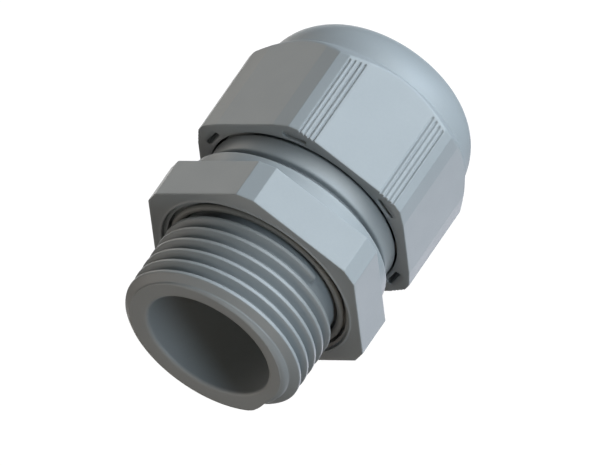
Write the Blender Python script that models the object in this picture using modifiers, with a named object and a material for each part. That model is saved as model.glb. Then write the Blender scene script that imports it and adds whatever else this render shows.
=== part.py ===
"""Cable gland, M20 x 1.5, 24 mm across flats, for Blender 4.5.

The gland lies on one flat of its two hexagons. World +X runs along its axis from the
entry thread to the domed nut, +Z is up, and the origin is under the middle of its length.
Every piece is modelled standing on its entry face, with its own Z along the axis, and the
empty "gland_axis" lays the whole gland down.
"""

import bmesh
import bpy
from math import cos, pi, radians, sin, tau
from mathutils import Matrix, Vector

MM = 0.001

# Driving dimensions, in millimetres. Heights run along the axis from the entry face.
SEGMENTS = 36
PITCH = 1.5
FLAT = 12.0                 # centre line to a flat, half of 24 mm across flats
CORNER_FACET = 13.27        # centre line to the small facet on each corner
TRIM_R = 14.0               # turned radius that the hexagons are cut from

BORE_R = 7.0
SEAT_R = 6.4                # step that the seal insert stands on
ENTRY_CREST_R = 9.95
NECK_R = 9.0                # plain shank that the entry thread stands on
TIP_ROUND = 0.6
HEX_FRONT = 9.65
HEX_BACK = 14.4
RECESS_R = 10.85            # shallow recess in the hexagon's front face
RECESS_Z = 9.95
RING_GROOVE_R = 10.4        # deeper groove inside it, for the entry seal ring
RING_GROOVE_Z = 10.85
COLLAR_R = 11.6
COLLAR_TOP = 16.1
COLLAR_EDGE = 0.25          # chamfer round the collar's end
BEAD_R = 10.55
BEAD_Z = 17.75
BEAD_ROUND = 0.45
CAP_CREST_R = 10.4
CAP_ROOT_R = 9.7
CAP_START = 19.3
CAP_FIRST_TURN = 12         # turn of the cap thread, counted from the entry face
CAP_TURNS = 6
CAP_LEAD_IN = 0.6           # chamfer at the end of the cap thread
BODY_TOP = 26.0
SEAT_Z = 21.0
SOCKET_R = 8.7              # counterbore that takes the cage's spigot
SOCKET_Z = 22.0
SPIGOT_R = 7.75
FACE_SPARE = 0.2            # length that the cut at the entry face takes off
RIDGE_SUNK = 0.4            # how far the entry ridge reaches into the shank

ENTRY_SEAL_R = 9.7
ENTRY_SEAL_Z = 10.05
ENTRY_SEAL_SECTION = 0.4

NUT_BOTTOM = 19.45
MOUTH_R = 10.85
MOUTH_TOP = 21.0
NUT_CREST_R = 10.0
NUT_ROOT_R = 10.7
NUT_THREAD_END = 28.2
NUT_FIRST_TURN = 13
NUT_TURNS = 5.75
ROOF_R = 9.15               # top of the coned roof that the slip ring bears on
ROOF_Z = 35.7
SHOULDER_Z = 30.1           # where the corners turn in to the dome
DOME_R = 11.8
DOME_ARC = 6.3
DOME_CENTRE_Z = 31.35
RIM_ANGLE = 75.5            # degrees round the dome's arc to its flat rim
EXIT_R = 6.9
LENGTH = DOME_CENTRE_Z + DOME_ARC * sin(radians(RIM_ANGLE))

THREAD_GAP_HALF = 0.15      # half width of a groove at its floor
FLANK_RATIO = 0.577         # tan 30 degrees, a 60 degree thread
ENTRY_FLOOR = 0.04          # half width of the gap between the entry ridge's turns
ENTRY_PHASE = 1.16          # height of the entry ridge's crest at angle 0
ENTRY_START = 105.0         # degrees round at which the ridge leaves the entry face
ENTRY_TURNS = 5.8
CAP_PHASE = 0.75            # height of a cap thread groove at angle 0, less whole turns

PAD_HALF = 3.93             # raised pad in the middle of each nut flat
STRIP_DROP = 0.15
RIB_PITCH = 0.45
RIB_GROOVE = 0.24
RIB_DEPTH = 0.22
POCKET_WIDTH = 2.7
POCKET_THICKNESS = 0.55
POCKET_DEPTH = 1.2
POCKET_R = 11.55

CAGE_TOP = 27.3
CAGE_STEP_Z = 26.3          # underside of the cage's flange, on the body's end
CAGE_BOTTOM = 22.3
CAGE_R = 9.6
CAGE_SPIGOT_R = 8.4
CAGE_INNER_R = 7.5

SLIP_TOP = 35.4
SLIP_BOTTOM = 31.4
SLIP_OUTER_RADII = (8.9, 10.1)      # at its top and at its bottom
SLIP_INNER_RADII = (7.6, 9.45)
SLIP_WAIST = (8.5, 34.2)    # radius and height at which the inside turns steeper

FINGERS = 12
HINGE_R = 8.4
HINGE_Z = 27.5
FINGER_BASE = 27.8
FINGER_TIP = 32.6
FINGER_TAPER_Z = 31.0
FINGER_INNER_R = 7.7
FINGER_OUTER_R = 9.2
FINGER_WIDTHS = (3.9, 3.5, 3.1)
FINGER_INNER_SHARE = 0.86   # a finger's width at its inner side over that at its outer side
FINGER_TIP_DROP = 0.7       # how much thinner a finger is at its tip

SEAL_INNER_R = 5.9
SEAL_OUTER_R = 7.2
SEAL_BOTTOM = 21.3
SEAL_TOP = 32.7

GREY = (0.36, 0.39, 0.40)
PALE = (0.44, 0.46, 0.46)
DARK = (0.03, 0.03, 0.032)


def clear_scene():
    for obj in list(bpy.data.objects):
        bpy.data.objects.remove(obj, do_unlink=True)


def collection(name):
    found = bpy.data.collections.new(name)
    bpy.context.scene.collection.children.link(found)
    return found


def material(name, colour, roughness):
    mat = bpy.data.materials.new(name)
    mat.use_nodes = True
    shader = mat.node_tree.nodes["Principled BSDF"]
    shader.inputs["Base Color"].default_value = (*colour, 1.0)
    shader.inputs["Roughness"].default_value = roughness
    shader.inputs["Metallic"].default_value = 0.0
    return mat


def new_object(name, mesh, mat=None, parent=None, cutter=False):
    obj = bpy.data.objects.new(name, mesh)
    home = CUTTERS if cutter else GLAND
    home.objects.link(obj)
    obj.parent = parent
    if cutter:
        obj.hide_render = True
        obj.display_type = "WIRE"
    if mat:
        mesh.materials.append(mat)
    return obj


def turned(name, outline, mat, parent):
    """A ring turned from a closed outline of (radius, height) points in millimetres.

    The outline runs down its outer side and back up its inner side.
    """
    mesh = bpy.data.meshes.new(name)
    points = [(r * MM, 0.0, z * MM) for r, z in outline]
    edges = [(i, (i + 1) % len(points)) for i in range(len(points))]
    mesh.from_pydata(points, edges, [])
    obj = new_object(name, mesh, mat, parent)
    screw = obj.modifiers.new("Turn", "SCREW")
    screw.axis = "Z"
    screw.angle = tau
    screw.steps = SEGMENTS
    screw.render_steps = SEGMENTS
    screw.use_merge_vertices = True
    screw.merge_threshold = 0.00001
    screw.use_smooth_shade = True
    return obj


def prism(name, outline, bottom, top, parent=None):
    """A cutter that stands on a closed outline of (x, y) points in millimetres."""
    bm = bmesh.new()
    verts = [bm.verts.new((x * MM, y * MM, bottom * MM)) for x, y in outline]
    face = bm.faces.new(verts)
    grown = bmesh.ops.extrude_face_region(bm, geom=[face])
    raised = [v for v in grown["geom"] if isinstance(v, bmesh.types.BMVert)]
    bmesh.ops.translate(bm, vec=(0.0, 0.0, (top - bottom) * MM), verts=raised)
    bmesh.ops.recalc_face_normals(bm, faces=bm.faces)
    mesh = bpy.data.meshes.new(name)
    bm.to_mesh(mesh)
    bm.free()
    return new_object(name, mesh, parent=parent, cutter=True)


def groove_section(floor_r, mouth_r):
    """A thread groove's section as (radius, height) points about its middle."""
    mouth_half = THREAD_GAP_HALF + abs(mouth_r - floor_r) * FLANK_RATIO
    return [
        (floor_r, -THREAD_GAP_HALF),
        (floor_r, THREAD_GAP_HALF),
        (mouth_r, mouth_half),
        (mouth_r, -mouth_half),
    ]


def ridge_section():
    """The entry thread's ridge, sunk a little into the shank that it stands on."""
    foot = PITCH / 2 - ENTRY_FLOOR
    crest = foot - (ENTRY_CREST_R - NECK_R) * FLANK_RATIO
    sunk = NECK_R - RIDGE_SUNK
    return [
        (sunk, -foot),
        (sunk, foot),
        (NECK_R, foot),
        (ENTRY_CREST_R, crest),
        (ENTRY_CREST_R, -crest),
        (NECK_R, -foot),
    ]


def helical_cutter(name, section, phase, start_turn, turns, parent):
    """A section swept up a right-hand helix, with its height at angle 0 given by phase.

    It starts half a segment round, so that its edges cross the turned faces cleanly.
    """
    first = round(start_turn * SEGMENTS) + 0.5
    start = tau * first / SEGMENTS
    height = phase + first / SEGMENTS * PITCH
    bm = bmesh.new()
    verts = []
    for r, z in section:
        verts.append(bm.verts.new(Vector((r * cos(start), r * sin(start), height + z)) * MM))
    face = bm.faces.new(verts)
    steps = int(SEGMENTS * turns)
    bmesh.ops.spin(
        bm,
        geom=[face, *face.edges, *face.verts],
        cent=(0.0, 0.0, 0.0),
        axis=(0.0, 0.0, 1.0),
        dvec=(0.0, 0.0, PITCH * MM / SEGMENTS),
        angle=tau * steps / SEGMENTS,
        steps=steps,
    )
    bmesh.ops.recalc_face_normals(bm, faces=bm.faces)
    mesh = bpy.data.meshes.new(name)
    bm.to_mesh(mesh)
    bm.free()
    return new_object(name, mesh, parent=parent, cutter=True)


def boolean(obj, cutter, operation):
    modifier = obj.modifiers.new(operation.title(), "BOOLEAN")
    modifier.operation = operation
    modifier.object = cutter
    modifier.solver = "EXACT"


def arc(centre_r, centre_z, radius, start, end, count):
    """Points on an arc of a turned outline; the angles are in degrees from outwards."""
    points = []
    for i in range(count + 1):
        angle = radians(start + (end - start) * i / count)
        points.append((centre_r + radius * cos(angle), centre_z + radius * sin(angle)))
    return points


def polar(out, along, angle):
    """A point at one distance out along a flat's normal and another along the flat."""
    a = radians(angle)
    x = out * cos(a) - along * sin(a)
    y = out * sin(a) + along * cos(a)
    return (x, y)


def flat_half_width(flat):
    """Half the width of a flat between its two corner facets."""
    return (CORNER_FACET - flat * cos(pi / 6)) / sin(pi / 6)


def plain_hexagon():
    half = flat_half_width(FLAT)
    outline = []
    for side in range(6):
        outline.append(polar(FLAT, -half, 60 * side))
        outline.append(polar(FLAT, half, 60 * side))
    return outline


def nut_hexagon():
    """The nut's outline: a raised pad on each flat, fine grooves beside every other pad."""
    low = FLAT - STRIP_DROP
    half = flat_half_width(low)
    outline = []
    for side in range(6):
        angle = 60 * side
        flat = [(low, -half)]
        flat += strip_grooves(low, -1) if side % 2 == 0 else []
        flat += [(low, -PAD_HALF), (FLAT, -PAD_HALF), (FLAT, PAD_HALF), (low, PAD_HALF)]
        flat += strip_grooves(low, 1) if side % 2 == 0 else []
        flat.append((low, half))
        outline += [polar(out, along, angle) for out, along in flat]
    return outline


def strip_grooves(low, sign):
    """Four fine square grooves in the strip on one side of a pad, in outline order."""
    points = []
    order = range(4) if sign > 0 else range(3, -1, -1)
    for i in order:
        centre = sign * (PAD_HALF + RIB_GROOVE + RIB_PITCH * i)
        near = centre - RIB_GROOVE / 2
        far = centre + RIB_GROOVE / 2
        points += [(low, near), (low - RIB_DEPTH, near), (low - RIB_DEPTH, far), (low, far)]
    return points


def make_body(mat, parent):
    """Entry thread, hexagon flange, collar and cap thread, turned and then cut.

    The entry thread is a ridge wound round the shank; the hexagon's cut trims its first
    turn level with the entry face.
    """
    relief = CAP_ROOT_R - 0.1
    groove = BEAD_R - 0.55
    shank = NECK_R - TIP_ROUND
    outline = [
        (CAP_CREST_R - CAP_LEAD_IN - 0.1, BODY_TOP),
        (CAP_CREST_R, BODY_TOP - CAP_LEAD_IN),
        (CAP_CREST_R, CAP_START),
        (relief, CAP_START - 0.4),
        (relief, BEAD_Z + 0.5),
        *arc(BEAD_R - BEAD_ROUND, BEAD_Z, BEAD_ROUND, 70, -70, 4),
        (groove, BEAD_Z - 0.55),
        (groove, COLLAR_TOP + COLLAR_EDGE),
        (COLLAR_R - COLLAR_EDGE, COLLAR_TOP),
        (COLLAR_R, COLLAR_TOP - COLLAR_EDGE),
        (COLLAR_R, HEX_BACK),
        (TRIM_R, HEX_BACK),
        (TRIM_R, HEX_FRONT),
        (RECESS_R + 0.2, HEX_FRONT),
        (RECESS_R, HEX_FRONT + 0.15),
        (RECESS_R, RECESS_Z),
        (RING_GROOVE_R, RECESS_Z),
        (RING_GROOVE_R, RING_GROOVE_Z),
        (NECK_R, RING_GROOVE_Z),
        *arc(shank, TIP_ROUND, TIP_ROUND, 0, -80, 3),
        (shank, -FACE_SPARE),
        (BORE_R + 0.3, -FACE_SPARE),
        (BORE_R + 0.3, 0.0),
        (BORE_R, 0.3),
        (BORE_R, SEAT_Z - 1.4),
        (SEAT_R, SEAT_Z - 0.8),
        (SEAT_R, SEAT_Z),
        (SPIGOT_R, SEAT_Z),
        (SPIGOT_R, SOCKET_Z),
        (SOCKET_R, SOCKET_Z),
        (SOCKET_R, BODY_TOP),
    ]
    body = turned("gland_body", outline, mat, parent)
    start = ENTRY_START / 360 - 1
    ridge = helical_cutter(
        "entry_thread_ridge", ridge_section(), ENTRY_PHASE, start, ENTRY_TURNS, parent
    )
    boolean(body, ridge, "UNION")
    hexagon = prism("hexagon_cutter", plain_hexagon(), 0.0, BODY_TOP + 1.0, parent)
    boolean(body, hexagon, "INTERSECT")
    section = groove_section(CAP_ROOT_R, CAP_CREST_R + 0.05)
    cap = helical_cutter("cap_thread_cutter", section, CAP_PHASE, CAP_FIRST_TURN, CAP_TURNS, parent)
    boolean(body, cap, "DIFFERENCE")


def dome_arc():
    """The nut's outer profile from its top rim down round the dome to the shoulder."""
    return arc(DOME_R - DOME_ARC, DOME_CENTRE_Z, DOME_ARC, RIM_ANGLE, 5, 9)


def make_nut(mat, parent, frame):
    """Dome nut: hexagonal skirt under a dome, threaded inside, with a coned roof."""
    relief = NUT_ROOT_R + 0.05
    outline = [
        (EXIT_R, LENGTH - 0.5),
        (EXIT_R + 0.1, LENGTH - 0.1),
        *dome_arc(),
        (DOME_R, SHOULDER_Z + 1.6),
        (TRIM_R, SHOULDER_Z - 0.7),
        (TRIM_R, NUT_BOTTOM),
        (MOUTH_R + 0.1, NUT_BOTTOM),
        (MOUTH_R, NUT_BOTTOM + 0.2),
        (MOUTH_R, MOUTH_TOP),
        (NUT_CREST_R, MOUTH_TOP + 0.7),
        (NUT_CREST_R, NUT_THREAD_END),
        (relief, NUT_THREAD_END + 0.4),
        (relief, NUT_THREAD_END + 2.1),
        (relief - 0.25, NUT_THREAD_END + 2.9),
        (ROOF_R, ROOF_Z),
        (EXIT_R + 0.4, ROOF_Z),
        (EXIT_R, ROOF_Z + 0.4),
    ]
    nut = turned("dome_nut", outline, mat, parent)
    hexagon = prism("nut_hexagon_cutter", nut_hexagon(), NUT_BOTTOM - 1.0, LENGTH + 1.0, frame)
    boolean(nut, hexagon, "INTERSECT")
    section = groove_section(NUT_ROOT_R, NUT_CREST_R - 0.05)
    phase = CAP_PHASE + PITCH / 2
    thread = helical_cutter("nut_thread_cutter", section, phase, NUT_FIRST_TURN, NUT_TURNS, frame)
    boolean(nut, thread, "DIFFERENCE")
    boolean(nut, pocket_cutters(frame), "DIFFERENCE")


def pocket_cutters(frame):
    """Six small blocks that cut a blind slot into the skirt's end at each corner."""
    bm = bmesh.new()
    for corner in range(6):
        place = Matrix.Rotation(radians(60 * corner + 30), 4, "Z")
        place @= Matrix.Translation((POCKET_R * MM, 0.0, NUT_BOTTOM * MM))
        size = Vector((POCKET_THICKNESS, POCKET_WIDTH, 2 * POCKET_DEPTH)) * MM
        place @= Matrix.Diagonal((*size, 1.0))
        bmesh.ops.create_cube(bm, size=1.0, matrix=place)
    mesh = bpy.data.meshes.new("pocket_cutters")
    bm.to_mesh(mesh)
    bm.free()
    return new_object("pocket_cutters", mesh, parent=frame, cutter=True)


def make_entry_seal(mat, parent):
    """O-ring that lies round the neck, in the recess of the hexagon's front face."""
    outline = arc(ENTRY_SEAL_R, ENTRY_SEAL_Z, ENTRY_SEAL_SECTION, 180, -180, 12)[:-1]
    turned("entry_seal_ring", outline, mat, parent)


def make_cage(mat, parent):
    """Ring that the clamping fingers hinge on, with a spigot in the body's socket."""
    edge = 0.2
    outline = [
        (CAGE_R - edge, CAGE_TOP),
        (CAGE_R, CAGE_TOP - edge),
        (CAGE_R, CAGE_STEP_Z),
        (CAGE_SPIGOT_R, CAGE_STEP_Z),
        (CAGE_SPIGOT_R, CAGE_BOTTOM + edge),
        (CAGE_SPIGOT_R - edge, CAGE_BOTTOM),
        (CAGE_INNER_R, CAGE_BOTTOM),
        (CAGE_INNER_R, CAGE_TOP),
    ]
    turned("clamp_cage", outline, mat, parent)


def make_slip_ring(mat, parent):
    """Coned ring inside the dome that presses on the finger tips without turning."""
    outline = [
        (SLIP_OUTER_RADII[0], SLIP_TOP),
        (SLIP_OUTER_RADII[1], SLIP_BOTTOM),
        (SLIP_INNER_RADII[1], SLIP_BOTTOM),
        SLIP_WAIST,
        (SLIP_INNER_RADII[0], SLIP_TOP),
    ]
    turned("slip_ring", outline, mat, parent)


def make_seal_insert(mat, parent):
    """Elastomer sleeve that grips the cable, with a stepped foot and rounded mouth."""
    outline = [
        (SEAL_OUTER_R - 0.4, SEAL_TOP),
        (SEAL_OUTER_R, SEAL_TOP - 0.4),
        (SEAL_OUTER_R, SEAL_BOTTOM + 0.2),
        (SEAL_OUTER_R - 0.2, SEAL_BOTTOM),
        (SEAL_INNER_R + 0.3, SEAL_BOTTOM),
        (SEAL_INNER_R, SEAL_BOTTOM + 0.4),
        (SEAL_INNER_R, SEAL_TOP - 0.6),
        (SEAL_INNER_R + 0.4, SEAL_TOP),
    ]
    turned("seal_insert", outline, mat, parent)


def finger_mesh(mat):
    """One clamping finger about its hinge: local X points out from the gland's axis."""
    heights = (FINGER_BASE, FINGER_TAPER_Z, FINGER_TIP)
    outers = (FINGER_OUTER_R, FINGER_OUTER_R, FINGER_OUTER_R - FINGER_TIP_DROP)
    bm = bmesh.new()
    rings = []
    for height, outer, width in zip(heights, outers, FINGER_WIDTHS):
        inner, half = FINGER_INNER_R, width / 2
        narrow = half * FINGER_INNER_SHARE
        corners = [(inner, -narrow), (outer, -half), (outer, half), (inner, narrow)]
        ring = []
        for x, y in corners:
            point = Vector((x - HINGE_R, y, height - HINGE_Z)) * MM
            ring.append(bm.verts.new(point))
        rings.append(ring)
    bm.faces.new(rings[0][::-1])
    bm.faces.new(rings[-1])
    for low, high in zip(rings, rings[1:]):
        for i in range(4):
            j = (i + 1) % 4
            bm.faces.new((low[i], low[j], high[j], high[i]))
    bmesh.ops.recalc_face_normals(bm, faces=bm.faces)
    mesh = bpy.data.meshes.new("clamp_finger")
    bm.to_mesh(mesh)
    bm.free()
    mesh.materials.append(mat)
    return mesh


def make_fingers(mat, parent):
    """Twelve fingers in a ring, each with its origin on its own hinge line."""
    mesh = finger_mesh(mat)
    for number in range(FINGERS):
        angle = tau * number / FINGERS
        hinge = bpy.data.objects.new(f"finger_hinge_{number + 1:02d}", None)
        GLAND.objects.link(hinge)
        hinge.parent = parent
        hinge.location = (HINGE_R * MM * cos(angle), HINGE_R * MM * sin(angle), HINGE_Z * MM)
        hinge.rotation_euler = (0.0, 0.0, angle)
        new_object(f"clamp_finger_{number + 1:02d}", mesh, parent=hinge)


def axis_frame():
    """Empty at the middle of the entry face, with its Z along the gland's axis.

    Its X is the normal of a nut flat that has fine grooves; that flat's neighbour faces up.
    """
    frame = bpy.data.objects.new("gland_axis", None)
    GLAND.objects.link(frame)
    side = Vector((0.0, -sin(radians(60)), cos(radians(60))))
    along = Vector((1.0, 0.0, 0.0))
    turn = Matrix((side, along.cross(side), along)).transposed()
    frame.matrix_world = Matrix.Translation((-LENGTH / 2 * MM, 0.0, FLAT * MM)) @ turn.to_4x4()
    return frame


def nut_frame(parent):
    """Empty on the axis, which the nut turns about."""
    frame = bpy.data.objects.new("nut_turn_axis", None)
    GLAND.objects.link(frame)
    frame.parent = parent
    return frame


def main():
    body_grey = material("grey_polyamide", GREY, 0.5)
    pale_grey = material("pale_polyamide", PALE, 0.5)
    dark_rubber = material("black_elastomer", DARK, 0.7)
    grey_rubber = material("grey_elastomer", GREY, 0.65)
    frame = axis_frame()
    nut_axis = nut_frame(frame)
    make_body(body_grey, frame)
    make_entry_seal(grey_rubber, frame)
    make_cage(pale_grey, frame)
    make_fingers(pale_grey, frame)
    make_seal_insert(dark_rubber, frame)
    make_slip_ring(pale_grey, frame)
    make_nut(body_grey, nut_axis, frame)


clear_scene()
GLAND = collection("cable_gland")
CUTTERS = collection("cutters")
main()
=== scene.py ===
"""The looks of the cable gland: fine meshes, materials, lights and camera round the frame."""
from math import ceil, cos, pi, radians, sin, sqrt, tan, tau

import bmesh
import bpy
import numpy as np
from mathutils import Matrix, Vector


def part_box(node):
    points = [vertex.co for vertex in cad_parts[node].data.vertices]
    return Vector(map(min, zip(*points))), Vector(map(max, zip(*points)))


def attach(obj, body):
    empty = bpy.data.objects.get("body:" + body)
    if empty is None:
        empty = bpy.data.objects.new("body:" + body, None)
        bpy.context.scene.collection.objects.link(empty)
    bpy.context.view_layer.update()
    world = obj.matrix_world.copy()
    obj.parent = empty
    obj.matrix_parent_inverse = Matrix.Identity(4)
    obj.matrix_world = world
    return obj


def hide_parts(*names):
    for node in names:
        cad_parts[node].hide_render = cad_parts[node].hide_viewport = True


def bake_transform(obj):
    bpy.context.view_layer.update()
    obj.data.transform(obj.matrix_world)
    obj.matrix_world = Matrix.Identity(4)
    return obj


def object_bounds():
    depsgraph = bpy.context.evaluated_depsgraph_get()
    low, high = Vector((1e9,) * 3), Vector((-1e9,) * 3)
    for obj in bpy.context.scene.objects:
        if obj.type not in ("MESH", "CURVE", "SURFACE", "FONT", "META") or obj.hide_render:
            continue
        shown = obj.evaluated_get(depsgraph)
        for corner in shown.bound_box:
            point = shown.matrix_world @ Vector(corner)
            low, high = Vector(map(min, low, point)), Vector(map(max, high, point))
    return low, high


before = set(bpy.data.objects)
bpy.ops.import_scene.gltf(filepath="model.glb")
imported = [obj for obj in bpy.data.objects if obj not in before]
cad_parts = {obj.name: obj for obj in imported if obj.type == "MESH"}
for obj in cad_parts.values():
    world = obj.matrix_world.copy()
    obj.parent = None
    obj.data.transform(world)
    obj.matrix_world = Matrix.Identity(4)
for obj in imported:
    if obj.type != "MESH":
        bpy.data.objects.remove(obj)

CAD_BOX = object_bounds()
MM = 0.001

# Places that come from the frame, in millimetres along the axis from the entry face.
BODY_LOW, BODY_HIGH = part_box("gland_body")
NUT_LOW, NUT_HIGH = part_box("dome_nut")
RING_LOW, RING_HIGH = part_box("entry_seal_ring")
ENTRY_X = BODY_LOW[0]
AXIS_Z = (NUT_LOW[2] + NUT_HIGH[2]) / 2


def height_of(x):
    return (x - ENTRY_X) / MM


FLAT = (NUT_HIGH[2] - NUT_LOW[2]) / 2 / MM
CORNER_FACET = (NUT_HIGH[1] - NUT_LOW[1]) / 2 / MM
BODY_TOP = height_of(BODY_HIGH[0])
NUT_BOTTOM = height_of(NUT_LOW[0])
RING_Z = height_of((RING_LOW[0] + RING_HIGH[0]) / 2)
RING_SECTION_R = (RING_HIGH[0] - RING_LOW[0]) / 2 / MM
RING_R = (RING_HIGH[2] - RING_LOW[2]) / 2 / MM - RING_SECTION_R

# The design's own sizes, in millimetres. Heights are from the entry face.
PITCH = 1.5
THREAD_FLOOR_HALF = 0.15
FLANK_RATIO = 0.577         # tan 30 degrees, a 60 degree thread
THREAD_BLUR = 0.035         # how far a thread's corners are rounded, each way
THREAD_FADE = 0.5           # height over which a groove starts or ends

# The entry end. The thread is a ridge, with its turns counted from 0 at angle 0.
BORE_R = 7.0
FACE_INNER_R = 7.9
FACE_MARGIN = 0.1
TIP_ROUND = 0.85
RIDGE_ROUND = 0.88          # the same rounding, where it trims the thread's ridge
NECK_R = 9.0
NECK_TOP = 10.6
ENTRY_DEPTH = 0.95
ENTRY_CREST_HALF = 0.162
ENTRY_PHASE = 1.16          # height of a crest at angle 0
ENTRY_FIRST = -265.0        # degrees along the thread where the ridge starts
ENTRY_RISE = 45.0           # degrees over which it grows
ENTRY_LAST = 1831.0
ENTRY_FALL = 8.0
RIDGE_SUNK = 0.6            # how far the ridge lies under the neck where it fades out

# The hexagon flange, its recess and the seal ring's groove.
HEX_FRONT = 9.65
HEX_BACK = 14.4
HEX_EDGE = 0.12
HEX_INNER_R = 12.0
RECESS_R = 10.85
RECESS_Z = 9.95
RING_GROOVE_R = 10.4
RING_GROOVE_Z = 10.85

# From the collar to the body's top. The cap thread is a groove.
COLLAR_R = 11.6
COLLAR_TOP = 16.1
GROOVE_R = 10.0
SHANK_R = 10.68
SHANK_LOW = 17.2
SHANK_HIGH = 19.35
CAP_CREST_R = 10.4
CAP_DEPTH = 0.7
CAP_PHASE = 0.75            # height of a groove at angle 0, less whole turns
CAP_CLIMB_START = 19.5      # a whole number of turns, so that lines follow the groove
CAP_TOP_BEVEL = 0.6
SEAT_R = 6.4
SEAT_Z = 21.0
SOCKET_R = 8.7
SOCKET_Z = 22.0

# The dome nut: inside, flats, dome and shoulder, end slots.
MOUTH_R = 10.85
MOUTH_TOP = 21.8
NUT_CREST_R = 10.0
NUT_DEPTH = 0.7
NUT_THREAD_LOW = 22.2
NUT_THREAD_TOP = 28.2
NUT_CLIMB_START = 22.5
NUT_RELIEF_TOP = 30.2
EXIT_R = 6.9
STRIP_DROP = 0.22           # how far a flat slopes down from its pad to the corner
PAD_HALF = 3.93
RIB_GROOVE = 0.24
RIB_DEPTH = 0.22
RIB_STEP = 0.55
RIB_FIRST = 0.37
DOME_R = 11.8
DOME_ARC = 6.3
DOME_CENTRE_Z = 31.35
CONE_TOP_Z = 31.7
CONE_SLOPE = 2.3 / 2.2
POCKET_R = 11.55            # centre line of a slot behind a corner facet
POCKET_HALF_THICKNESS = 0.275
POCKET_HALF_WIDTH = 1.35
POCKET_DEPTH = 2.4
POCKET_EDGE = 0.2           # least land between a slot and the skirt's edge
POCKET_MARKS = (0.0, 1.08, 1.2, 1.28, 1.33, 1.37, 1.42)

# The clamp.
FINGERS = 12
FINGER_INNER_R = 7.75
FINGER_OUTER_R = 9.15
HINGE_R = 8.4
HINGE_Z = 27.5
HINGE_HALF_THICKNESS = 0.16
HINGE_OVERLAP = 0.15        # how far a film hinge runs into the pieces it joins
CAGE_TOP = 27.3
CAGE_FLANGE = 26.3
CAGE_BOTTOM = 22.3
CAGE_INNER_R = 7.5
SLEEVE_INNER_R = 5.9
SLEEVE_OUTER_R = 7.2
SLEEVE_BOTTOM = 21.3
SLEEVE_SPLIT = 26.6         # above this the sleeve is cut into petals
SLEEVE_TOP = 32.6
PETAL_SLACK = 0.03          # what the petals stay clear of the foot's two walls


# ---------------------------------------------------------------- mesh kit

def gland_matrix():
    """Takes the gland's own frame, Z along its axis, to the world, in metres."""
    side = Vector((0.0, -sin(radians(60)), cos(radians(60))))
    along = Vector((1.0, 0.0, 0.0))
    turn = Matrix((side, along.cross(side), along)).transposed().to_4x4()
    return Matrix.Translation((ENTRY_X, 0.0, AXIS_Z)) @ turn @ Matrix.Scale(MM, 4)


GLAND = gland_matrix()


def angle_set(features, step):
    """Angles round the axis from -180 degrees: every feature, and gaps filled to a step."""
    marks = sorted({round((f + 180) % 360 - 180, 4) for f in features} | {-180.0})
    marks.append(180.0)
    angles = []
    for low, high in zip(marks, marks[1:]):
        parts = max(1, ceil((high - low) / step))
        angles += [low + (high - low) * i / parts for i in range(parts)]
    return np.radians(angles)


def soft(corners, fillet_steps=4):
    """An outline of (radius, height, fillet) corners as points, with round corners.

    Each fillet gets a support point on both sides, which keeps flat stretches flat.
    """
    points = [corners[0][:2]]
    for before, here, after in zip(corners, corners[1:], corners[2:]):
        p = np.array(here[:2], float)
        a = np.array(before[:2], float) - p
        b = np.array(after[:2], float) - p
        la, lb = np.linalg.norm(a), np.linalg.norm(b)
        a, b = a / la, b / lb
        half = np.arccos(np.clip(a @ b, -1, 1)) / 2
        if here[2] <= 0 or abs(half - pi / 2) < 0.01:
            points.append(tuple(p))
            continue
        reach = min(here[2] / tan(half), 0.45 * la, 0.45 * lb)
        lead = min(0.5 * reach, 0.1)
        if reach + lead < 0.48 * la:
            points.append(tuple(p + a * (reach + lead)))
        for i in range(fillet_steps + 1):
            t = i / fillet_steps
            points.append(tuple(p + a * reach * (1 - t) ** 2 + b * reach * t ** 2))
        if reach + lead < 0.48 * lb:
            points.append(tuple(p + b * (reach + lead)))
    points.append(corners[-1][:2])
    return points


class Path:
    """An outline that a thread is cut into; its distance equals the height at one corner."""

    def __init__(self, points, corner, height):
        self.points = np.array(points, float)
        steps = np.linalg.norm(np.diff(self.points, axis=0), axis=1)
        self.distance = np.concatenate([[0.0], np.cumsum(steps)])
        nearest = np.argmin(np.linalg.norm(self.points - np.array([corner, height]), axis=1))
        self.distance += height - self.distance[nearest]

    def radius(self, distance):
        return np.interp(distance, self.distance, self.points[:, 0])

    def height(self, distance):
        return np.interp(distance, self.distance, self.points[:, 1])


def ramp(t):
    t = np.clip(t, 0, 1)
    return t * t * (3 - 2 * t)


def flank_share(distance, near, run):
    """1 up to a distance, then down a straight flank to 0, with slightly round corners."""
    blur = np.linspace(-THREAD_BLUR, THREAD_BLUR, 7)
    spread_out = np.asarray(distance)[..., None] + blur
    return np.clip(1 - (spread_out - near) / run, 0, 1).mean(axis=-1)


def from_middle(height, angle, phase):
    """Distance along the axis from the nearest turn of a thread, and that turn's number."""
    turns = (height - phase) / PITCH - angle / tau
    nearest = np.round(turns)
    return np.abs(turns - nearest) * PITCH, nearest


def quarter_round(level, radius, size):
    """A radius rounded off towards level 0."""
    return radius - size + np.sqrt(size ** 2 - np.maximum(size - level, 0) ** 2)


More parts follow.
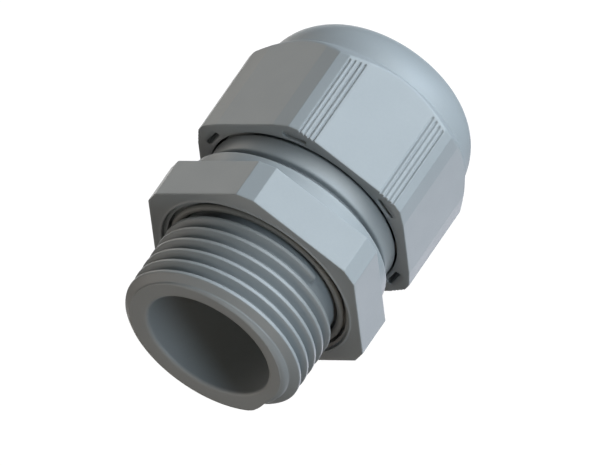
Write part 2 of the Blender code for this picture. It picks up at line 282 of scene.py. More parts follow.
def entry_surface(height, angle):
    """The entry thread: a ridge wound round the shank and trimmed at the entry face.

    Below height 0 the surface runs inwards over the face.
    """
    level = np.maximum(height, 0.0)
    neck = quarter_round(level, NECK_R, TIP_ROUND)
    trim = quarter_round(level, NECK_R + ENTRY_DEPTH, RIDGE_ROUND)
    distance, turn = from_middle(level, angle, ENTRY_PHASE)
    along = np.degrees(angle) + 360 * turn
    ends = ramp((along - ENTRY_FIRST) / ENTRY_RISE) * ramp((ENTRY_LAST - along) / ENTRY_FALL)
    crest = flank_share(distance, ENTRY_CREST_HALF, ENTRY_DEPTH * FLANK_RATIO)
    ridge = NECK_R + ENTRY_DEPTH * crest * ends - (1 - ends) * crest * RIDGE_SUNK
    radius = np.maximum(neck, np.minimum(ridge, trim))
    inwards = np.minimum(height, 0.0) / (PITCH + FACE_MARGIN)
    return radius + inwards * (radius - FACE_INNER_R), level


def threaded(path, depth, crest_r, phase, low, high, inside=False):
    """A surface that follows a path, with a thread groove between two heights."""
    def surface(distance, angle):
        height = path.height(distance)
        away, _ = from_middle(height, angle, phase)
        share = flank_share(away, THREAD_FLOOR_HALF, depth * FLANK_RATIO)
        share = share * ramp((height - low) / THREAD_FADE) * ramp((high - height) / THREAD_FADE)
        if inside:
            return np.maximum(path.radius(distance), crest_r + depth * share), height
        return np.minimum(path.radius(distance), crest_r - depth * share), height
    return surface


def line_offsets(near, run, shift):
    """Where the lines of a thread's mesh lie within one pitch, starting at 0.

    They crowd at the corners of its section, which is centred at the shift.
    """
    half = [0.0, 0.6 * near, near - THREAD_BLUR, near + 0.02, near + 0.07, near + 0.3 * run]
    half += [near + 0.55 * run, near + 0.8 * run, near + run - 0.04, near + run + 0.02]
    marks = half + [-m for m in half[1:]] + [PITCH / 2]
    return np.array(sorted({round((m + shift) % PITCH, 4) for m in marks} | {0.0}))


class Skin:
    """A closed surface grown ring by ring, each ring with a point at every angle."""

    def __init__(self, angles):
        self.angles = angles
        self.count = len(angles)
        self.points = []
        self.faces = []
        self.first = None
        self.last = None

    def place(self, radius, height, angle):
        radius, height, angle = np.broadcast_arrays(radius, height, angle)
        start = sum(len(p) for p in self.points)
        xyz = np.stack([radius * np.cos(angle), radius * np.sin(angle), height], axis=1)
        self.points.append(xyz)
        return np.arange(start, start + len(xyz))

    def bridge(self, low, high):
        a = np.stack([low, np.roll(low, -1), np.roll(high, -1), high], axis=1)
        self.faces += a.tolist()

    def ring(self, radius, height):
        ids = self.place(radius, height, self.angles)
        if self.first is None:
            self.first = ids
        else:
            self.bridge(self.last, ids)
        self.last = ids

    def rings(self, points):
        for radius, height in points:
            self.ring(radius, height)

    def close(self):
        self.bridge(self.last, self.first)

    def strip(self, low, high):
        """Quads between two open rows of the same length."""
        self.faces += np.stack([low[:-1], low[1:], high[1:], high[:-1]], axis=1).tolist()

    def zip_columns(self, left, right):
        """Triangles between two upright columns of (point, distance) pairs."""
        i = j = 0
        while i < len(left) - 1 or j < len(right) - 1:
            end_left = i == len(left) - 1
            end_right = j == len(right) - 1
            if end_right or (not end_left and left[i + 1][1] <= right[j + 1][1]):
                self.faces.append([left[i][0], right[j][0], left[i + 1][0]])
                i += 1
            else:
                self.faces.append([left[i][0], right[j][0], right[j + 1][0]])
                j += 1

    def climb(self, surface, start, turns, offsets, low, high, corner=None, rows=4):
        """Lines that climb one pitch a turn, between level rings at a low and a high end.

        The surface gives (radius, height) for a distance along its profile and an angle. In
        each column the line nearest to the corner is moved onto it.
        """
        n, lines = self.count, len(offsets)
        total = turns * n
        part = (self.angles - self.angles[0]) / tau
        grid = np.add.outer(np.add.outer(part, np.arange(turns + 2)) * PITCH, offsets) + start
        if corner is not None:
            there = np.zeros(grid.shape, bool)
            there[:, :turns] = True
            there[:, turns, 0] = True
            away = np.where(there, np.abs(grid - corner), np.inf).reshape(n, -1)
            grid.reshape(n, -1)[np.arange(n), away.argmin(axis=1)] = corner
        steps = np.arange(total + n + 1)
        angle = self.angles[steps % n]
        made = []
        for line in range(lines):
            s = grid[:, :, line].T.reshape(-1)[: total + 1 + (n if line == 0 else 0)]
            turned = angle[: len(s)]
            made.append((self.place(*surface(s, turned), turned), s))
        for (below, _), (above, _) in zip(made, made[1:]):
            self.strip(below[: total + 1], above)
        self.strip(made[-1][0], made[0][0][n:])

        crest, crest_s = made[0]
        lower, lower_s = [self.last], [np.full(n, low)]
        for k in range(1, rows + 1):
            s = low + (crest_s[:n] - low) * k / (rows + 1)
            lower.append(self.place(*surface(s, self.angles), self.angles))
            lower_s.append(s)
        lower.append(crest[:n])
        lower_s.append(crest_s[:n])
        for below, above in zip(lower, lower[1:]):
            self.strip(below, above)
        seam = [(a[0], s[0]) for a, s in zip(lower, lower_s)]
        seam += [(ids[0], s[0]) for ids, s in made[1:]] + [(crest[n], crest_s[n])]
        before = [(a[-1], s[-1]) for a, s in zip(lower, lower_s)]
        self.zip_columns(before, seam)

        top = self.place(*surface(np.full(n, high), self.angles), self.angles)
        upper, upper_s = [crest[total:]], [crest_s[total:]]
        for k in range(1, rows + 1):
            s = upper_s[0] + (high - upper_s[0]) * k / (rows + 1)
            ids = self.place(*surface(s[1:], angle[total + 1 :]), angle[total + 1 :])
            upper.append(np.concatenate([[-1], ids]))
            upper_s.append(s)
        upper.append(np.concatenate([top, top[:1]]))
        upper_s.append(np.full(n + 1, high))
        for below, above in zip(upper, upper[1:]):
            self.strip(below[1:], above[1:])
        seam = [(ids[total], s[total]) for ids, s in made]
        seam += [(a[-1], s[-1]) for a, s in zip(upper, upper_s)]
        after = [(a[1], s[1]) for a, s in zip(upper, upper_s)]
        self.zip_columns(seam, after)
        self.last = top

    def build(self, name, mat):
        return finished(name, np.concatenate(self.points), self.faces, mat)


def finished(name, points, faces, mat):
    """An object from points in the gland's frame, in millimetres, shaded smooth."""
    mesh = bpy.data.meshes.new(name)
    mesh.from_pydata([tuple(p) for p in points], [], faces)
    mesh.transform(GLAND)
    bm = bmesh.new()
    bm.from_mesh(mesh)
    bmesh.ops.recalc_face_normals(bm, faces=bm.faces)
    bm.to_mesh(mesh)
    bm.free()
    mesh.shade_smooth()
    mesh.materials.append(mat)
    obj = bpy.data.objects.new(name, mesh)
    bpy.context.scene.collection.objects.link(obj)
    return obj


# ---------------------------------------------------------------- materials

CLOUD_SCALE = 140.0         # noise scales are per metre
SPECK_SCALE = 3500.0
SPECK_SHARE = 0.35
SATIN_SCALE = 420.0
GRAIN_SCALE = 9000.0
GRAIN_HEIGHT = 0.03 * MM
SPECULAR = 0.35
GREY_DARK = (0.245, 0.262, 0.270)
GREY_LIGHT = (0.283, 0.300, 0.309)


def noise(tree, scale, detail, coordinates):
    node = tree.nodes.new("ShaderNodeTexNoise")
    node.inputs["Scale"].default_value = scale
    node.inputs["Detail"].default_value = detail
    tree.links.new(coordinates, node.inputs["Vector"])
    return node.outputs["Fac"]


def spread(tree, value, low, high):
    node = tree.nodes.new("ShaderNodeMapRange")
    node.inputs["From Min"].default_value = 0.3
    node.inputs["From Max"].default_value = 0.7
    node.inputs["To Min"].default_value = low
    node.inputs["To Max"].default_value = high
    tree.links.new(value, node.inputs["Value"])
    return node.outputs["Result"]


def moulded(name, dark, light, roughness, bump=0.12):
    """Moulded plastic or rubber: cloudy pigment, fine grain, slightly uneven satin."""
    mat = bpy.data.materials.new(name)
    mat.use_nodes = True
    tree = mat.node_tree
    shader = tree.nodes["Principled BSDF"]
    place = tree.nodes.new("ShaderNodeTexCoord").outputs["Object"]
    cloud = noise(tree, CLOUD_SCALE, 3.0, place)
    speck = noise(tree, SPECK_SCALE, 2.0, place)
    both = tree.nodes.new("ShaderNodeMath")
    both.operation = "MULTIPLY_ADD"
    both.inputs[1].default_value = SPECK_SHARE
    tree.links.new(speck, both.inputs[0])
    tree.links.new(spread(tree, cloud, 0.15, 0.5), both.inputs[2])
    tint = tree.nodes.new("ShaderNodeValToRGB")
    tint.color_ramp.elements[0].color = (*dark, 1.0)
    tint.color_ramp.elements[1].color = (*light, 1.0)
    tree.links.new(both.outputs[0], tint.inputs["Fac"])
    tree.links.new(tint.outputs["Color"], shader.inputs["Base Color"])
    uneven = noise(tree, SATIN_SCALE, 4.0, place)
    satin = spread(tree, uneven, roughness - 0.012, roughness + 0.016)
    tree.links.new(satin, shader.inputs["Roughness"])
    shader.inputs["Specular IOR Level"].default_value = SPECULAR
    bumps = tree.nodes.new("ShaderNodeBump")
    bumps.inputs["Strength"].default_value = bump
    bumps.inputs["Distance"].default_value = GRAIN_HEIGHT
    tree.links.new(noise(tree, GRAIN_SCALE, 2.0, place), bumps.inputs["Height"])
    tree.links.new(bumps.outputs["Normal"], shader.inputs["Normal"])
    return mat


# ---------------------------------------------------------------- hexagons

SHARPNESS = 900             # how tightly the soft outline turns its corners


def twelve_sided(angles, flat, inset=0.0):
    """Radius of a hexagon with a small facet on each corner, with softened edges."""
    total = 0.0
    for side in range(12):
        reach = (flat if side % 2 == 0 else CORNER_FACET) - inset
        share = np.maximum(np.cos(angles - radians(30 * side)), 0.0) * FLAT / reach
        total = total + share ** SHARPNESS
    return FLAT * total ** (-1.0 / SHARPNESS)


def half_flat(flat):
    """Half the width of one flat, from its middle to the corner facet."""
    return (CORNER_FACET - flat * cos(pi / 6)) / sin(pi / 6)


def corner_marks(flat):
    """Angles in degrees that the outline's corners need, for every flat."""
    corner = np.degrees(np.arctan2(half_flat(flat), flat))
    offsets = (-1.2, -0.6, -0.35, -0.2, -0.08, 0.08, 0.2, 0.35, 0.6, 1.2)
    return [60 * k + sign * corner + d for k in range(6) for sign in (-1, 1) for d in offsets]


def groove_centres():
    return [PAD_HALF + RIB_FIRST + RIB_STEP * i for i in range(4)]


def nut_marks(low):
    """The angles of the corners, of every pad edge and fine groove, and of the end slots."""
    marks = corner_marks(low)
    for side in range(6):
        along = [PAD_HALF + d for d in (-0.2, -0.1, 0.0, 0.1)]
        if side % 2 == 0:
            edge = RIB_GROOVE / 2
            for centre in groove_centres():
                along += [centre + s * d for s in (-1, 1) for d in (edge + 0.03, edge, edge - 0.06)]
        for a in along:
            angle = np.degrees(np.arctan2(a, low))
            marks += [60 * side - angle, 60 * side + angle]
        for a in POCKET_MARKS:
            angle = np.degrees(np.arctan2(a, POCKET_R))
            marks += [60 * side + 30 - angle, 60 * side + 30 + angle]
    return marks


def along_flat(angles, low):
    """Distance from the middle of the nearest flat, and whether that flat has fine grooves."""
    side = np.round(angles / radians(60))
    off = angles - side * radians(60)
    return low * np.tan(off), off, side.astype(int) % 2 == 0


# ---------------------------------------------------------------- pieces

def make_body(mat):
    """Entry thread, recessed hexagon flange, collar, shank, cap thread and bore."""
    skin = Skin(angle_set(corner_marks(FLAT), 2.0))
    skin.rings(soft([(BORE_R, 1.2, 0), (BORE_R, 0, 0.4), (FACE_INNER_R, 0, 0)]))
    run = ENTRY_DEPTH * FLANK_RATIO
    first = ENTRY_PHASE - PITCH / 2 - 2 * PITCH
    offsets = line_offsets(ENTRY_CREST_HALF, run, first + PITCH)
    skin.climb(entry_surface, -PITCH, 7, offsets, -PITCH - FACE_MARGIN, NECK_TOP, corner=0.0)
    skin.rings(soft([(NECK_R, NECK_TOP, 0), (NECK_R, RING_GROOVE_Z, 0.1),
                     (RING_GROOVE_R, RING_GROOVE_Z, 0.1), (RING_GROOVE_R, RECESS_Z, 0.08),
                     (RECESS_R, RECESS_Z, 0.12), (RECESS_R, 9.7, 0)])[1:])
    lip = [(RECESS_R + 0.12 - 0.14 * cos(a), HEX_FRONT + 0.02 - 0.12 * sin(a))
           for a in np.linspace(radians(10), radians(150), 8)]
    skin.rings(lip)
    skin.rings([(RECESS_R + 0.3, HEX_FRONT - 0.015), (RECESS_R + 0.36, HEX_FRONT)])
    hexagon_wall(skin)
    skin.rings(soft([(HEX_INNER_R, HEX_BACK, 0), (COLLAR_R, HEX_BACK, 0.12),
                     (COLLAR_R, COLLAR_TOP, 0.2),
                     (GROOVE_R, COLLAR_TOP, 0.15), (GROOVE_R, SHANK_LOW, 0.1),
                     (SHANK_R, SHANK_LOW, 0.4), (SHANK_R, SHANK_HIGH - 0.1, 0)])[1:])
    lead = soft([(SHANK_R, SHANK_HIGH, 0), (CAP_CREST_R, SHANK_HIGH + 0.1, 0.05),
                 (CAP_CREST_R, BODY_TOP - CAP_TOP_BEVEL, 0.1),
                 (CAP_CREST_R - CAP_DEPTH, BODY_TOP, 0.1), (CAP_CREST_R - 1.2, BODY_TOP, 0)])
    skin.ring(SHANK_R, SHANK_HIGH)
    path = Path(lead, CAP_CREST_R, BODY_TOP - CAP_TOP_BEVEL)
    groove = threaded(path, CAP_DEPTH, CAP_CREST_R, CAP_PHASE, SHANK_HIGH, BODY_TOP + 0.4)
    offsets = line_offsets(THREAD_FLOOR_HALF, CAP_DEPTH * FLANK_RATIO, 0.0)
    skin.climb(groove, CAP_CLIMB_START, 3, offsets, path.distance[0], path.distance[-1])
    skin.rings(soft([(CAP_CREST_R - 1.2, BODY_TOP, 0), (SOCKET_R, BODY_TOP, 0.15),
                     (SOCKET_R, SOCKET_Z, 0.1), (7.75, SOCKET_Z, 0.1), (7.75, SEAT_Z, 0.1),
                     (SEAT_R, SEAT_Z, 0.1), (SEAT_R, 20.2, 0.2), (BORE_R, 19.6, 0.2),
                     (BORE_R, 12.0, 0), (BORE_R, 4.0, 0)])[1:])
    skin.close()
    return skin.build("body_moulding", mat)


def hexagon_wall(skin, edge=HEX_EDGE):
    """From the front face's ring round the flange's edge to its back face."""
    full = twelve_sided(skin.angles, FLAT)
    inner = full * (1 - 3 * edge / FLAT)
    skin.ring(inner, HEX_FRONT)
    for t in np.linspace(0, 1, 5):
        skin.ring(full - edge * (1 - t) ** 2, HEX_FRONT + edge * t ** 2)
    for height in (HEX_FRONT + 2 * edge, (HEX_FRONT + HEX_BACK) / 2, HEX_BACK - 2 * edge):
        skin.ring(full, height)
    for t in np.linspace(0, 1, 5):
        skin.ring(full - edge * t ** 2, HEX_BACK - edge * (1 - t) ** 2)
    skin.ring(full * (1 - 2 * edge / FLAT), HEX_BACK)
    skin.ring(11.95 - 0.12, HEX_BACK)


def make_nut(mat):
    """Dome nut, from its rim over the dome, shoulder and skirt, then up through its inside."""
    low = FLAT - STRIP_DROP
    skin = Skin(angle_set(nut_marks(low), 2.2))
    along, off, grooved = along_flat(skin.angles, low)
    pad = np.clip((half_flat(low) - np.abs(along)) / (half_flat(low) - PAD_HALF), 0, 1)
    wall = twelve_sided(skin.angles, low) + pad * STRIP_DROP / np.cos(off)
    nearest = np.min([np.abs(np.abs(along) - c) for c in groove_centres()], axis=0)
    groove = np.where(grooved, RIB_DEPTH * ramp((RIB_GROOVE / 2 + 0.02 - nearest) / 0.08), 0.0)
    dome(skin)
    crease = CONE_TOP_Z - (wall - DOME_R) * CONE_SLOPE
    shoulder(skin, wall, crease)
    skirt(skin, wall, groove, crease)
    nut_end_face(skin, wall - groove)
    nut_inside(skin)
    skin.close()
    return skin.build("dome_nut_moulding", mat)


def dome(skin):
    """From the rim of the cable's hole over the dome to its foot."""
    centre_r = DOME_R - DOME_ARC
    rim = radians(72)
    top = DOME_CENTRE_Z + DOME_ARC * sin(rim)
    outer = centre_r + DOME_ARC * cos(rim)
    for t in np.linspace(0, 1, 6):
        skin.ring(EXIT_R + (outer - EXIT_R) * t ** 2, top - 0.35 * (1 - t) ** 2)
    for a in np.linspace(rim - 0.03, radians(7), 26):
        skin.ring(centre_r + DOME_ARC * cos(a), DOME_CENTRE_Z + DOME_ARC * sin(a))


def shoulder(skin, wall, crease, edge=0.3):
    """The cone between the dome and the flats, with a round edge along the flats' tops."""
    run = sqrt(1 + CONE_SLOPE ** 2)
    for t in (0.0, 0.5, 1.0):
        radius = DOME_R + 0.01 + 0.03 * t
        skin.ring(radius, CONE_TOP_Z + 0.12 - 0.16 * t)
    start = np.minimum(edge / run, (wall - DOME_R) * 0.45)
    for t in (0.35, 0.75, 1.0):
        radius = DOME_R + 0.04 + (wall - start - DOME_R - 0.04) * t
        skin.ring(radius, CONE_TOP_Z - (radius - DOME_R) * CONE_SLOPE)
    for t in (0.2, 0.4, 0.6, 0.8, 1.0):
        back = start * (1 - t) ** 2
        skin.ring(wall - back, crease + back * CONE_SLOPE - edge * t ** 2)


def skirt(skin, wall, groove, crease, edge=0.12):
    """The wall down from the shoulder, where the fine grooves start with a round end."""
    for below, share in ((0.36, 0.0), (0.42, 0.0), (0.5, 0.45), (0.6, 0.8), (0.72, 0.97), (0.85, 1.0)):
        skin.ring(wall - groove * share, crease - below)
    top = crease - 1.0
    for t in (0.0, 0.33, 0.66, 1.0):
        skin.ring(wall - groove, top + (NUT_BOTTOM + 2 * edge - top) * t)
    for t in np.linspace(0, 1, 5):
        skin.ring(wall - groove - edge * t ** 2, NUT_BOTTOM + edge * (1 - t) ** 2)


def nut_end_face(skin, outline):
    """The skirt's end face, with a blind slot that has round ends behind each corner facet."""
    off = skin.angles - radians(30)
    off = off - radians(60) * np.round(off / radians(60))
    along = np.abs(POCKET_R * np.tan(off))
    over = np.clip(along - (POCKET_HALF_WIDTH - POCKET_HALF_THICKNESS), 0, POCKET_HALF_THICKNESS)
    half = np.sqrt(np.maximum(POCKET_HALF_THICKNESS ** 2 - over ** 2, 0.02 ** 2))
    sunk = POCKET_DEPTH * ramp((POCKET_HALF_WIDTH + 0.05 - along) / 0.1)
    middle = POCKET_R / np.cos(np.clip(off, -0.13, 0.13))
    outer = np.minimum(middle + half, outline - POCKET_EDGE)
    inner = np.minimum(middle - half, outline - 2 * POCKET_EDGE)
    skin.ring((outline + outer) / 2, NUT_BOTTOM)
    skin.ring(outer + 0.03, NUT_BOTTOM)
    skin.ring(outer, NUT_BOTTOM + 0.03 * sunk)
    skin.ring(outer * 0.97 + inner * 0.03, NUT_BOTTOM + 0.1 * sunk)
    skin.ring(outer * 0.9 + inner * 0.1, NUT_BOTTOM + sunk)
    skin.ring(outer * 0.1 + inner * 0.9, NUT_BOTTOM + sunk)
    skin.ring(outer * 0.03 + inner * 0.97, NUT_BOTTOM + 0.1 * sunk)
    skin.ring(inner, NUT_BOTTOM + 0.03 * sunk)
    skin.ring(inner - 0.03, NUT_BOTTOM)


def nut_inside(skin):
    """The mouth, the thread, its relief and the cone that the slip ring sits in."""
    skin.rings(soft([(11.15, NUT_BOTTOM, 0), (MOUTH_R, NUT_BOTTOM, 0.1),
                     (MOUTH_R, MOUTH_TOP, 0)])[1:])
    groove = NUT_CREST_R + NUT_DEPTH + 0.05
    path = Path(soft([(MOUTH_R, MOUTH_TOP, 0), (MOUTH_R, MOUTH_TOP + 0.5, 0.1),
                      (NUT_CREST_R, MOUTH_TOP + 1.2, 0.1), (NUT_CREST_R, NUT_THREAD_TOP, 0.1),
                      (groove, NUT_THREAD_TOP + 0.4, 0.1), (groove, NUT_RELIEF_TOP, 0)]),
                NUT_CREST_R, NUT_THREAD_TOP)
    cut = threaded(path, NUT_DEPTH, NUT_CREST_R, CAP_PHASE + PITCH / 2, NUT_THREAD_LOW,
                   NUT_THREAD_TOP + 0.7, inside=True)
    offsets = line_offsets(THREAD_FLOOR_HALF, NUT_DEPTH * FLANK_RATIO, PITCH / 2)
    skin.climb(cut, NUT_CLIMB_START, 4, offsets, path.distance[0], path.distance[-1])
    skin.rings(soft([(groove, NUT_RELIEF_TOP, 0), (groove, NUT_RELIEF_TOP + 0.1, 0),
                     (10.5, 31.1, 0.2), (9.15, 35.7, 0.2),
                     (EXIT_R + 0.4, 35.7, 0.2), (EXIT_R, 36.1, 0.2), (EXIT_R, 36.8, 0)])[1:])


def make_entry_ring(mat):
    """O-ring round the neck, with the faint seam that its mould leaves."""
    skin = Skin(angle_set([], 2.0))
    for a in np.linspace(0, tau, 33)[:-1]:
        seam = 0.012 * max(0.0, 1 - abs((a + 0.3) % pi - 0.3) / 0.1)
        radius = RING_SECTION_R - 0.015 + seam
        skin.ring(RING_R + radius * cos(a), RING_Z + radius * sin(a))
    skin.close()
    return skin.build("entry_o_ring", mat)


def make_cage(mat):
    """Ring with a spigot, which carries the fingers."""
    skin = Skin(angle_set([], 2.5))
    skin.rings(soft([(9.4, CAGE_TOP, 0), (9.6, CAGE_TOP - 0.2, 0.08), (9.6, CAGE_FLANGE, 0.1),
                     (8.4, CAGE_FLANGE, 0.05), (8.4, CAGE_BOTTOM + 0.2, 0.1),
                     (8.2, CAGE_BOTTOM, 0.1), (CAGE_INNER_R, CAGE_BOTTOM, 0.1),
                     (CAGE_INNER_R, CAGE_TOP, 0.1), (8.6, CAGE_TOP, 0)]))
    skin.close()
    return skin.build("cage_ring", mat)


def make_slip_ring(mat):
    """The cone between the nut and the fingers."""
    skin = Skin(angle_set([], 2.5))
    skin.rings(soft([(8.7, 35.4, 0), (8.9, 35.4, 0.08), (10.1, 31.4, 0.08), (9.45, 31.4, 0.08),
                     (8.5, 34.2, 0.2), (7.6, 35.4, 0.08), (8.0, 35.4, 0)]))
    skin.close()
    return skin.build("slip_cone", mat)


def sector(name, rows, angle, mat, sides=7):
    """A curved bar between two radii; rows are (height, inner, outer, half width)."""
    points, faces, rings = [], [], []
    for height, inner, outer, half in rows:
        ring = []
        for radius, order in ((outer, 1), (inner, -1)):
            width = half * (1.0 if order > 0 else 0.9)
            reach = np.arcsin(width / radius)
            for a in np.linspace(-order * reach, order * reach, sides):
                ring.append(len(points))
                points.append((radius * cos(angle + a), radius * sin(angle + a), height))
        rings.append(ring)
    for low, high in zip(rings, rings[1:]):
        for i in range(len(low)):
            j = (i + 1) % len(low)
            faces.append([low[i], low[j], high[j], high[i]])
    faces.append(rings[0][::-1])
    faces.append(rings[-1])
    obj = finished(name, points, faces, mat)
    bevel = obj.modifiers.new("Round", "BEVEL")
    bevel.width = 0.00012
    bevel.segments = 3
    bevel.limit_method = "ANGLE"
    bevel.angle_limit = radians(35)
    return obj


def make_fingers(mat, rubber):
    """The fingers, the film hinges under them and the petals of the soft sleeve inside."""
    for number in range(FINGERS):
        label = f"{number + 1:02d}"
        angle = tau * number / FINGERS
        low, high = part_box(f"clamp_finger_{label}")
        base, tip = height_of(low[0]), height_of(high[0])
        finger = sector(
            f"finger_{label}",
            [(base, FINGER_INNER_R, FINGER_OUTER_R, 1.9), (29.4, 7.7, FINGER_OUTER_R, 1.85),
             (31.0, 7.7, FINGER_OUTER_R, 1.75), (31.8, 7.72, 8.85, 1.65),
             (tip, FINGER_INNER_R, 8.5, 1.55)],
            angle, mat,
        )
        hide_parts(f"clamp_finger_{label}")
        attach(finger, f"finger_{label}")
        heights = np.linspace(CAGE_TOP - HINGE_OVERLAP, base + HINGE_OVERLAP, 7)
        film = [(z, HINGE_R - HINGE_HALF_THICKNESS, HINGE_R + HINGE_HALF_THICKNESS, 1.6)
                for z in heights]
        hinge = sector(f"film_hinge_{label}", film, angle, mat)
        apply_modifiers(hinge)
        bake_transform(hinge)
        petal = make_petal(label, angle, rubber)
        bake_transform(petal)


def apply_modifiers(obj):
    """Keeps the evaluated mesh in place of the modifiers."""
    graph = bpy.context.evaluated_depsgraph_get()
    mesh = bpy.data.meshes.new_from_object(obj.evaluated_get(graph))
    obj.modifiers.clear()
    obj.data = mesh


def make_petal(label, angle, rubber):
    """One twelfth of the sleeve above the cage, narrowing so that it can be pressed in."""
    rows = []
    for z in np.linspace(SLEEVE_SPLIT, SLEEVE_TOP, 13):
        t = max(0.0, (z - HINGE_Z) / (SLEEVE_TOP - HINGE_Z))
        rows.append((z, SLEEVE_INNER_R + PETAL_SLACK, SLEEVE_OUTER_R - PETAL_SLACK, 1.8 - 0.36 * t))
    petal = sector(f"sleeve_petal_{label}", rows, angle, rubber)
    apply_modifiers(petal)
    return petal


def make_sleeve(mat):
    """The sleeve's foot, a whole ring that stands on the body's seat."""
    skin = Skin(angle_set([], 2.5))
    skin.rings(soft([(7.0, SLEEVE_SPLIT, 0), (SLEEVE_OUTER_R, SLEEVE_SPLIT, 0.05),
                     (SLEEVE_OUTER_R, SLEEVE_BOTTOM + 0.2, 0.1), (7.0, SLEEVE_BOTTOM, 0.1),
                     (6.2, SLEEVE_BOTTOM, 0.1), (SLEEVE_INNER_R, SLEEVE_BOTTOM + 0.4, 0.1),
                     (SLEEVE_INNER_R, SLEEVE_SPLIT, 0.05), (6.4, SLEEVE_SPLIT, 0)]))
    skin.close()
    return skin.build("sleeve_foot", mat)


def make_pieces():
    grey = moulded("grey_polyamide", GREY_DARK, GREY_LIGHT, 0.45)
    nut_grey = moulded("nut_polyamide", GREY_DARK, GREY_LIGHT, 0.45)
    pale = moulded("pale_polyamide", (0.36, 0.37, 0.355), (0.42, 0.43, 0.415), 0.5)
    ring_rubber = moulded("ring_elastomer", (0.17, 0.172, 0.165), (0.22, 0.222, 0.215), 0.5)
    rubber = moulded("black_elastomer", (0.018, 0.018, 0.02), (0.035, 0.035, 0.037), 0.62, bump=0.3)
    for piece, node, body, slot in (
        (make_body(grey), "gland_body", "root", "grey_polyamide"),
        (make_nut(nut_grey), "dome_nut", "nut", "grey_polyamide_nut"),
        (make_entry_ring(ring_rubber), "entry_seal_ring", "root", "grey_elastomer"),
        (make_cage(pale), "clamp_cage", "root", "pale_polyamide"),
        (make_slip_ring(pale), "slip_ring", "slip", "pale_polyamide"),
        (make_sleeve(rubber), "seal_insert", "root", "black_elastomer"),
    ):
        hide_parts(node)
        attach(piece, body)
    make_fingers(pale, rubber)


# ---------------------------------------------------------------- studio

VIEW_RIGHT = Vector((0.4957, -0.7101, -0.5001)).normalized()
VIEW_BACK = Vector((-0.4943, -0.7041, 0.5099)).normalized()
VIEW_UP = VIEW_BACK.cross(VIEW_RIGHT)
VIEW_WIDTH = 60.09 * MM
VIEW_OFFSET = (9.21, 11.45)     # middle of the view from the entry face's middle, in mm
CAMERA_DISTANCE = 2.2           # views from elsewhere clip what is over about 2.6 m away
SENSOR = 36.0
FLOOR_GAP = 0.1 * MM            # the floor lies this far under the gland
FLOOR_R = 4.0


def make_camera():
    """A long lens, because the object is seen almost without perspective."""
    entry = Vector((ENTRY_X, 0.0, AXIS_Z))
    target = entry + (VIEW_RIGHT * VIEW_OFFSET[0] + VIEW_UP * VIEW_OFFSET[1]) * MM
    data = bpy.data.cameras.new("camera")
    data.sensor_width = SENSOR
    data.lens = SENSOR * CAMERA_DISTANCE / VIEW_WIDTH
    data.clip_end = 20.0
    camera = bpy.data.objects.new("camera", data)
    turn = Matrix((VIEW_RIGHT, VIEW_UP, VIEW_BACK)).transposed().to_4x4()
    camera.matrix_world = Matrix.Translation(target + VIEW_BACK * CAMERA_DISTANCE) @ turn
    bpy.context.scene.collection.objects.link(camera)
    bpy.context.scene.camera = camera


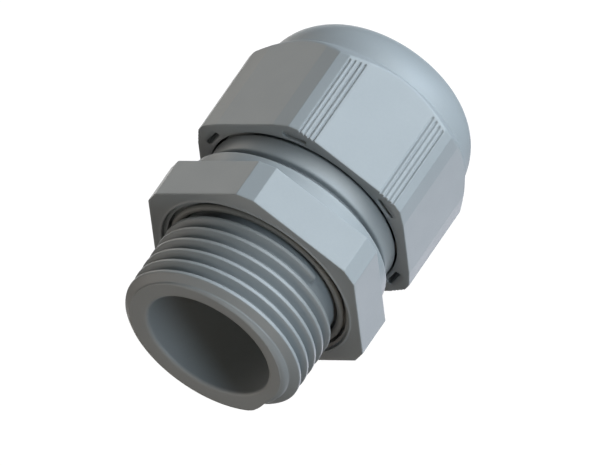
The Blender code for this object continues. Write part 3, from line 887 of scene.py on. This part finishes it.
LIGHTS = (
    # name, world direction towards it, power in watts, width in metres, colour
    ("key", (0.52, -0.80, 0.30), 6.00, 0.80, (0.94, 1.0, 1.03)),
    ("front", (-0.21, -0.97, -0.10), 1.34, 0.25, (0.85, 1.0, 1.12)),
    ("entry", (-0.86, -0.27, 0.43), 0.46, 0.25, (1.04, 1.0, 0.89)),
    ("behind", (0.44, 0.77, 0.46), 0.57, 0.25, (1.10, 1.0, 0.88)),
    ("below", (0.41, 0.24, -0.88), 0.48, 0.25, (1.06, 1.0, 1.08)),
    ("low_entry", (-0.92, -0.21, -0.32), 0.53, 0.25, (1.19, 1.0, 0.84)),
    ("left", (-0.66, 0.72, 0.21), 0.74, 0.45, (1.09, 1.0, 0.94)),
    ("back_fill", (0.45, 0.80, -0.40), 1.50, 0.50, (1.0, 1.0, 1.0)),
    ("side", (0.79, -0.60, 0.12), 1.35, 0.35, (0.73, 1.0, 1.29)),
)
LIGHT_DISTANCE = 0.6


def make_lights():
    """Soft discs all round the gland, the strongest where flats facing the camera catch it."""
    target = Vector((0.0, 0.0, AXIS_Z))
    for name, direction, power, width, colour in LIGHTS:
        data = bpy.data.lights.new(name, "AREA")
        data.shape = "DISK"
        data.size = width
        data.energy = power
        data.color = colour
        lamp = bpy.data.objects.new(name, data)
        towards = Vector(direction).normalized()
        lamp.location = target + towards * LIGHT_DISTANCE
        lamp.rotation_euler = towards.to_track_quat("Z", "Y").to_euler()
        bpy.context.scene.collection.objects.link(lamp)


def make_world():
    """A white surround that is seen but lights nothing."""
    world = bpy.data.worlds.new("studio")
    world.use_nodes = True
    world.node_tree.nodes["Background"].inputs["Color"].default_value = (1.0, 1.0, 1.0, 1.0)
    world.cycles_visibility.diffuse = False
    world.cycles_visibility.glossy = False
    bpy.context.scene.world = world


def make_floor():
    """A wide white floor. It is only a backdrop: it neither lights nor shades the gland."""
    mesh = bpy.data.meshes.new("floor")
    bm = bmesh.new()
    bmesh.ops.create_circle(bm, cap_ends=True, segments=64, radius=FLOOR_R)
    bm.to_mesh(mesh)
    bm.free()
    floor = bpy.data.objects.new("floor", mesh)
    floor.location = (0.0, 0.0, CAD_BOX[0][2] - FLOOR_GAP)
    floor.visible_diffuse = False
    floor.visible_glossy = False
    floor.visible_shadow = False
    mat = bpy.data.materials.new("floor")
    mat.use_nodes = True
    shader = mat.node_tree.nodes["Principled BSDF"]
    shader.inputs["Base Color"].default_value = (0.1, 0.1, 0.1, 1.0)
    shader.inputs["Roughness"].default_value = 1.0
    shader.inputs["Specular IOR Level"].default_value = 0.0
    shader.inputs["Emission Color"].default_value = (1.0, 1.0, 1.0, 1.0)
    shader.inputs["Emission Strength"].default_value = 1.0
    mesh.materials.append(mat)
    bpy.context.scene.collection.objects.link(floor)


make_pieces()
make_camera()
make_lights()
make_world()
make_floor()
bpy.context.scene.view_settings.view_transform = "Standard"
